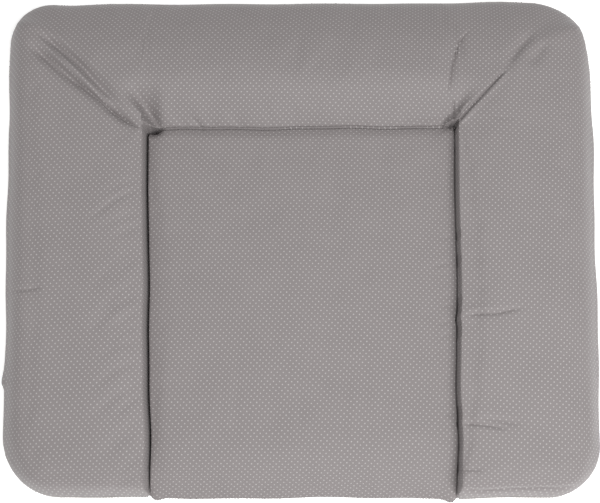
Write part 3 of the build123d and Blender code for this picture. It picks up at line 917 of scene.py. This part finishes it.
class PadStage(bpy.types.PropertyGroup):
    floor: FloatVectorProperty(name="Floor", description="Colour of the floor", subtype="COLOR",
                               default=linear("#FDFDFD")[:3])
    key_power: FloatProperty(name="Key light", description="Power of the large light at the front right",
                             default=46.0, unit="POWER")
    fill_power: FloatProperty(name="Fill light", description="Power of the light at the left", default=3.0,
                              unit="POWER")
    sky: FloatProperty(name="Room light", description="Strength of the even light from all round",
                       default=0.39)


# ---------- pieces ----------
# Mesh spacing of the cover at its rim and at its inner seams, mm
COVER_AT_RIM, COVER_AT_SEAM = 1.7, 0.7
# How much of the filling simulation is kept: its broad and its fine shape, each up to a limit in mm
BROAD_PASSES, BROAD_LIMIT, BROAD_SHARE = 260, 1.5, 0.4
FINE_LIMIT, FINE_SHARE_PANEL, FINE_SHARE_WEDGE = 1.6, 0.25, 0.55
# Room left under the wedges' crest for the cover's unevenness, mm
CREST_ROOM = 1.0


def crests(shape):
    """Heights of the wedges and of the panel, mm."""
    return shape.wedge_top / MM - CREST_ROOM, shape.panel_top / MM


class PAD_OT_top_sheet(bpy.types.Operator):
    """Makes the dotted top sheet, filled, pleated and creased"""
    bl_idname = "pad.top_sheet"
    bl_label = "Top sheet"

    def execute(self, context):
        shape = context.scene.pad_shape
        x, y, sewn_rows, sewn_columns = cover_plan(COVER_AT_RIM, COVER_AT_SEAM, shape.cover_mesh / MM)
        z = cover_height(x, y, *crests(shape))
        sewn = np.zeros(x.shape, bool)
        sewn[[0, -1], :] = sewn[:, [0, -1]] = True
        for row in sewn_rows:
            sewn[row, min(sewn_columns):max(sewn_columns) + 1] = True
        for column in sewn_columns:
            sewn[:max(sewn_rows) + 1, column] = True
        points = np.stack([x, y, z], axis=2)
        out = 0.9 * unevenness(x, y, 95, 1) + 0.35 * unevenness(x, y, 34, 2)
        held = 1 - np.exp(-np.minimum(seam_distance(x, y), np.maximum(rim_distance(x, y), 0)) / 22)
        out *= held
        moved = swell(points, sewn, shape)
        broad = smoothed(moved, BROAD_PASSES)
        fine = np.clip(moved - broad, -FINE_LIMIT, FINE_LIMIT)
        share = np.where(on_panel(x, y), FINE_SHARE_PANEL, FINE_SHARE_WEDGE)
        out += np.clip(broad, -BROAD_LIMIT, BROAD_LIMIT) * BROAD_SHARE * held + fine * share
        points += grid_normals(points) * out[..., None]
        points[..., 0], points[..., 1] = strayed(points[..., 0], points[..., 1])
        piece = sheet_mesh("cover_top_sheet", points, np.stack([x, y], axis=2), cover_folds(), 1, 1.6)
        dress(piece, dotted_cotton(), "dotted_cotton", "top_sheet")
        return {"FINISHED"}


class PAD_OT_bottom_sheet(bpy.types.Operator):
    """Makes the plain bottom sheet, drawn up at the rim and along the inner seams"""
    bl_idname = "pad.bottom_sheet"
    bl_label = "Bottom sheet"

    def execute(self, context):
        x, y, *_ = cover_plan(2.0, 1.6, 7.0)
        z = underside_height(x, y)
        rim = np.maximum(rim_distance(x, y), 0)
        seam = seam_distance(x, y)
        slack = np.clip((rim - 12) / 20, 0, 1) * (1 - np.exp(-seam / 9))
        z = z + slack * (0.25 + 0.25 * unevenness(x, y, 26, 6)) * np.exp(-seam / 30)
        points = np.stack([x, y, z], axis=2)
        points[..., 0], points[..., 1] = strayed(x, y)
        gathers = []
        random = Random(21)
        for i in range(70):
            angle = 2 * pi * (i + random.uniform(-0.3, 0.3)) / 70
            edge = (np.cos(angle) * 560, np.sin(angle) * 560)
            share = min(400 / max(abs(edge[0]), 1), 340 / max(abs(edge[1]), 1), 1)
            start = (edge[0] * share * 1.045, edge[1] * share * 1.045)
            end = (start[0] * (1 - random.uniform(0.05, 0.09)), start[1] * (1 - random.uniform(0.05, 0.09)))
            gathers.append(Fold((start, end), random.uniform(0.3, 0.8), random.uniform(3, 5), ends=9))
        piece = sheet_mesh("cover_bottom_sheet", points, np.stack([x, y], axis=2), gathers, -1, 0)
        low = min(v.co.z for v in piece.data.vertices)
        for vertex in piece.data.vertices:
            vertex.co.z = max(vertex.co.z - low, 0)
        dress(piece, backing_cloth(), "backing_sheet", "bottom_sheet")
        return {"FINISHED"}


# How far a core's edges are eased, how wavy its faces are, and the longest edge of its mesh, mm
EASED_EDGE, FACE_WAVE, LONGEST_EDGE = 2.5, 0.7, 11


def rounded_block(name, outline, ends, seed):
    """A foam block: an outline of (x, y, z) corners at each end, edges eased, faces slightly wavy."""
    block = bmesh.new()
    rings = [[block.verts.new(Vector(corner) * MM) for corner in outline(end)] for end in ends]
    for low, high in zip(rings, rings[1:]):
        for k in range(len(low)):
            j = (k + 1) % len(low)
            block.faces.new((low[k], low[j], high[j], high[k]))
    block.faces.new(rings[0][::-1])
    block.faces.new(rings[-1])
    bmesh.ops.recalc_face_normals(block, faces=block.faces)
    sharp = [edge for edge in block.edges if edge.calc_face_angle() > radians(12)]
    bmesh.ops.bevel(block, geom=sharp, offset=EASED_EDGE * MM, segments=3, profile=0.6, affect="EDGES")
    bmesh.ops.triangulate(block, faces=[face for face in block.faces if len(face.verts) > 4])
    for _ in range(3):
        long_edges = [edge for edge in block.edges if edge.calc_length() > LONGEST_EDGE * MM]
        bmesh.ops.subdivide_edges(block, edges=long_edges, cuts=1, use_grid_fill=True)
    bmesh.ops.triangulate(block, faces=block.faces)
    block.normal_update()
    shift = Vector((seed, seed * 2, 0))
    for vertex in block.verts:
        vertex.co += vertex.normal * (noise.noise(vertex.co * 40 + shift) - 0.6) * FACE_WAVE * MM
    return smooth_piece(name, block)


# Cross-section of a wedge core, mm: distance outwards from the inner seam, height.
WEDGE_SECTION = ((28, 10), (166, 10), (166, 44), (150, 54), (28, 26))
BACK_SECTION = ((28, 10), (152, 10), (152, 32), (130, 44), (28, 26))
CORE_INSET, CORE_OVERRUN = 40.0, 10.0
SLAB_INSET, SLAB_LOW, SLAB_HIGH = 28.0, 10.0, 30.0


def core_outline(which):
    """The corners of a core's cross-section at a place along it."""
    if which == "back":
        return lambda x: [(x, BACK_SEAM_Y + out, z) for out, z in BACK_SECTION]
    side, seam = (-1, left_seam) if which == "left" else (1, right_seam)
    return lambda y: [(seam(y) + side * out, y, z) for out, z in WEDGE_SECTION]


def core_stops(which):
    left, right = seam_corners()
    if which == "back":
        return np.linspace(left[0] - CORE_OVERRUN, right[0] + CORE_OVERRUN, 40)
    return np.linspace(FRONT_Y + CORE_INSET, BACK_SEAM_Y, 40)


def slab_outline(y):
    left, right = left_seam(y) + SLAB_INSET, right_seam(y) - SLAB_INSET
    return [(left, y, SLAB_LOW), (right, y, SLAB_LOW), (right, y, SLAB_HIGH), (left, y, SLAB_HIGH)]


class PAD_OT_foam_cores(bpy.types.Operator):
    """Makes the foam wedges of the three raised sides and the foam slab of the lying panel"""
    bl_idname = "pad.foam_cores"
    bl_label = "Foam cores"

    def execute(self, context):
        foam = cut_foam()
        blocks = [(f"{which}_wedge", core_outline(which), core_stops(which), seed)
                  for seed, which in enumerate(("left", "right", "back"))]
        slab_stops = np.linspace(FRONT_Y + SLAB_INSET, BACK_SEAM_Y - SLAB_INSET, 46)
        for name, outline, stops, seed in (*blocks, ("panel", slab_outline, slab_stops, 9)):
            core = rounded_block(f"{name}_core", outline, stops, seed)
            dress(core, foam, "foam", f"{name}_foam")
        return {"FINISHED"}


RIM_INSET, FILL_INSET, POCKET_GAP = 13.0, 10.0, 3.0
# Room for a sleeve over the bottom sheet, its least thickness, and room round its core and folds, mm
SLEEVE_FLOOR, LEAST_SLEEVE, CORE_ROOM, FOLD_ROOM = 3.0, 2, 0.6, 4


def mitre_share(y):
    return (y - BACK_SEAM_Y) / (BACK_Y - BACK_SEAM_Y)


def pocket_corners(which):
    """Corners of a pocket in order round it, mm."""
    left, right = seam_corners()
    front, back = FRONT_Y + RIM_INSET, BACK_Y - RIM_INSET
    if which == "panel":
        top = BACK_SEAM_Y - FILL_INSET
        return [(left_seam(front) + FILL_INSET, front), (right_seam(front) - FILL_INSET, front),
                (right_seam(top) - FILL_INSET, top), (left_seam(top) + FILL_INSET, top)]
    if which == "back":
        low = BACK_SEAM_Y + FILL_INSET + POCKET_GAP

        def mitre(corner, rim, y):
            return corner[0] + mitre_share(y) * (rim(BACK_Y) - corner[0])
        return [(mitre(left, left_rim, low) + POCKET_GAP, low),
                (mitre(right, right_rim, low) - POCKET_GAP, low),
                (mitre(right, right_rim, back) - POCKET_GAP, back),
                (mitre(left, left_rim, back) + POCKET_GAP, back)]
    side, seam, rim, corner = (-1, left_seam, left_rim, left) if which == "left" else (
        1, right_seam, right_rim, right)
    inner, outer = seam(BACK_SEAM_Y) + side * FILL_INSET, rim(BACK_Y) - side * RIM_INSET

    def mitre_y(x):
        return BACK_SEAM_Y + (x - corner[0]) / (rim(BACK_Y) - corner[0]) * (BACK_Y - BACK_SEAM_Y)
    return [(seam(front) + side * FILL_INSET, front), (rim(front) - side * RIM_INSET, front),
            (outer, mitre_y(outer) - POCKET_GAP), (inner, mitre_y(inner) - POCKET_GAP)]


def sleeve(name, which, shape, columns, rows, core, seed):
    """A fleece sleeve: a crowned, slightly lumpy skin, hollow where its core lies."""
    def eased(count):
        share = np.linspace(0, 1, count)
        return share - 0.8 * np.sin(2 * pi * share) / (2 * pi)
    s, t = np.meshgrid(eased(columns), eased(rows))
    corners = pocket_corners(which)
    weights = ((1 - s) * (1 - t), s * (1 - t), s * t, (1 - s) * t)
    x, y = (sum(w * corner[k] for w, corner in zip(weights, corners)) for k in (0, 1))
    x, y = rounded(x, y, RIM_INSET)
    gap = shape.fill_gap / MM
    soft = 0.9 * unevenness(x, y, 17, seed) + 0.5 * unevenness(x, y, 7, seed + 1) - 0.5
    high = cover_height(x, y, *crests(shape)) - gap - SHEET
    room = [Fold(fold.route, fold.depth, fold.width + FOLD_ROOM, ends=fold.ends)
            for fold in cover_folds() if fold.depth > 0.9]
    high = high - fold_drop(x, y, room) + soft
    low = underside_height(x, y) + SLEEVE_FLOOR + 0.5 * unevenness(x, y, 17, seed + 3)
    high = np.maximum(high, low + LEAST_SLEEVE)
    x, y = strayed(x, y)
    top, bottom = np.stack([x, y, high], 2).reshape(-1, 3), np.stack([x, y, low], 2).reshape(-1, 3)
    count = rows * columns
    faces = grid_faces(rows, columns)
    faces += [tuple(count + k for k in face[::-1]) for face in faces]
    rim = ([*range(columns - 1)] + [i * columns + columns - 1 for i in range(rows - 1)]
           + [count - 1 - j for j in range(columns - 1)] + [(rows - 1 - i) * columns for i in range(rows - 1)])
    faces += [(a, a + count, b + count, b) for a, b in zip(rim, rim[1:] + rim[:1])]
    piece = new_piece(name, np.concatenate([top, bottom]), faces)
    skin = bmesh.new()
    skin.from_mesh(piece.data)
    bmesh.ops.recalc_face_normals(skin, faces=skin.faces)
    hollow = core.data.copy()
    inside = bmesh.new()
    inside.from_mesh(hollow)
    for vertex in inside.verts:
        vertex.co += vertex.normal * CORE_ROOM * MM
    bmesh.ops.reverse_faces(inside, faces=inside.faces)
    inside.to_mesh(hollow)
    inside.free()
    skin.from_mesh(hollow)
    for face in skin.faces:
        face.smooth = True
    skin.to_mesh(piece.data)
    skin.free()
    bpy.data.meshes.remove(hollow)
    return piece


class PAD_OT_fleece_sleeves(bpy.types.Operator):
    """Makes the fleece sleeves that fill the four pockets round their foam cores"""
    bl_idname = "pad.fleece_sleeves"
    bl_label = "Fleece sleeves"

    def execute(self, context):
        fleece, shape = polyester_fleece(), context.scene.pad_shape
        for seed, which, columns, rows in ((31, "left", 44, 110), (37, "right", 44, 110),
                                           (41, "back", 120, 44), (43, "panel", 90, 110)):
            name = "panel" if which == "panel" else f"{which}_wedge"
            core = bpy.data.objects[f"{name}_core"]
            piece = sleeve(f"{name}_fleece_sleeve", which, shape, columns, rows, core, seed)
            dress(piece, fleece, "fleece", f"{name}_fleece")
        return {"FINISHED"}


# Corners of the short seams in plan, mm
SHORT_SEAMS = {
    "left_pleat": ((-229, 153), (-250, 166), (-290, 196), (-311, 212)),
    "right_pleat": ((222, 157), (240, 178), (266, 206), (290, 232)),
    "closing_seam": ((226, -348), (236, -350), (260, -348), (300, -346), (332, -346)),
}


class PAD_OT_sewing(bpy.types.Operator):
    """Sews the inner seams through both sheets, the rim, the pleats and the closed right pocket"""
    bl_idname = "pad.sewing"
    bl_label = "Seams"

    def execute(self, context):
        thread = spun_thread()
        above, below = surface_of("cover_top_sheet"), surface_of("cover_bottom_sheet")
        for which in ("left", "right", "back"):
            plan = inner_seam_plan(which)
            routes = [laid_on(above, plan, 0.25), laid_on(below, plan, 0.25, from_below=True)]
            sew(f"{which}_inner_seam", f"{which}_seam_stitches", routes, thread)
        x, y, *_ = cover_plan(COVER_AT_RIM, COVER_AT_SEAM, context.scene.pad_shape.cover_mesh / MM)
        x, y = strayed(x, y)
        outline = [*zip(x[0], y[0]), *zip(x[1:, -1], y[1:, -1]), *zip(x[-1, -2::-1], y[-1, -2::-1]),
                   *zip(x[-2::-1, 0], y[-2::-1, 0])]
        route = [(a, b, RIM_Z + SHEET / 2) for a, b in outline]
        sew("rim_seam", "edge_seam_stitches", [route], thread, 4.0, 2.4, 0.8)
        for which, corners in SHORT_SEAMS.items():
            name = which if "seam" in which else f"{which}_seam"
            route = laid_on(above, between(corners), 0.2)
            sew(name, f"{which}_stitches", [route], thread, 4.0, 2.8, 0.7)
        return {"FINISHED"}


# ---------- stage ----------
FLOOR_REACH = 6000.0
CAMERA_PLACE, LOOK_AT, LENS, SENSOR_WIDTH = (0, -0.3376, 1.4589), (0, -0.0204, 0.028), 62.4, 36.0


def aim(piece, place, target):
    piece.location = place
    piece.rotation_euler = (Vector(target) - Vector(place)).to_track_quat("-Z", "Y").to_euler()


class PAD_OT_stage(bpy.types.Operator):
    """Sets the floor, the lights and the camera"""
    bl_idname = "pad.stage"
    bl_label = "Stage"

    def execute(self, context):
        stage, scene = context.scene.pad_stage, context.scene
        corners = [(x * FLOOR_REACH, y * FLOOR_REACH, 0) for x, y in ((-1, -1), (1, -1), (1, 1), (-1, 1))]
        floor = new_piece("floor", corners, [(0, 1, 2, 3)], smooth=False)
        floor.data.materials.append(white_board())
        for name, place, target, size, power in (
                ("key_light", (0.8, -1.05, 2.3), (0.05, -0.05, 0.03), 1.3, stage.key_power),
                ("fill_light", (-1.8, 0.2, 1.7), (0, 0, 0.03), 1.6, stage.fill_power)):
            light = bpy.data.lights.new(name, "AREA")
            light.energy, light.size = power, size
            aim(add_object(name, light), place, target)
        scene.world = scene.world or bpy.data.worlds.new("Studio")
        scene.world.use_nodes = True
        sky = scene.world.node_tree.nodes["Background"]
        sky.inputs["Color"].default_value = (1, 1, 1, 1)
        sky.inputs["Strength"].default_value = stage.sky
        scene.view_settings.view_transform = "Standard"
        camera = add_object("camera", bpy.data.cameras.new("camera"))
        camera.data.lens, camera.data.sensor_width = LENS, SENSOR_WIDTH
        aim(camera, CAMERA_PLACE, LOOK_AT)
        scene.camera = camera
        return {"FINISHED"}


class PAD_PT_sidebar(bpy.types.Panel):
    bl_label = "Changing pad"
    bl_idname = "PAD_PT_sidebar"
    bl_space_type = "VIEW_3D"
    bl_region_type = "UI"
    bl_category = "Changing pad"

    def draw(self, context):
        for settings in (context.scene.pad_shape, context.scene.pad_fabric, context.scene.pad_stage):
            box = self.layout.box()
            for name in settings.__annotations__:
                box.prop(settings, name)
        for step in STEPS:
            self.layout.operator(step.bl_idname)


SETTINGS = {"pad_shape": PadShape, "pad_fabric": PadFabric, "pad_stage": PadStage}
STEPS = (PAD_OT_stage, PAD_OT_foam_cores, PAD_OT_fleece_sleeves, PAD_OT_bottom_sheet, PAD_OT_top_sheet,
         PAD_OT_sewing)


def register():
    for part in (*SETTINGS.values(), *STEPS, PAD_PT_sidebar):
        bpy.utils.register_class(part)
    for name, settings in SETTINGS.items():
        setattr(bpy.types.Scene, name, PointerProperty(type=settings))


def unregister():
    for name in SETTINGS:
        delattr(bpy.types.Scene, name)
    for part in (PAD_PT_sidebar, *reversed(STEPS), *SETTINGS.values()):
        bpy.utils.unregister_class(part)


def main():
    register()
    for step in STEPS:
        group, name = step.bl_idname.split(".")
        getattr(getattr(bpy.ops, group), name)()


if __name__ == "__main__":
    main()
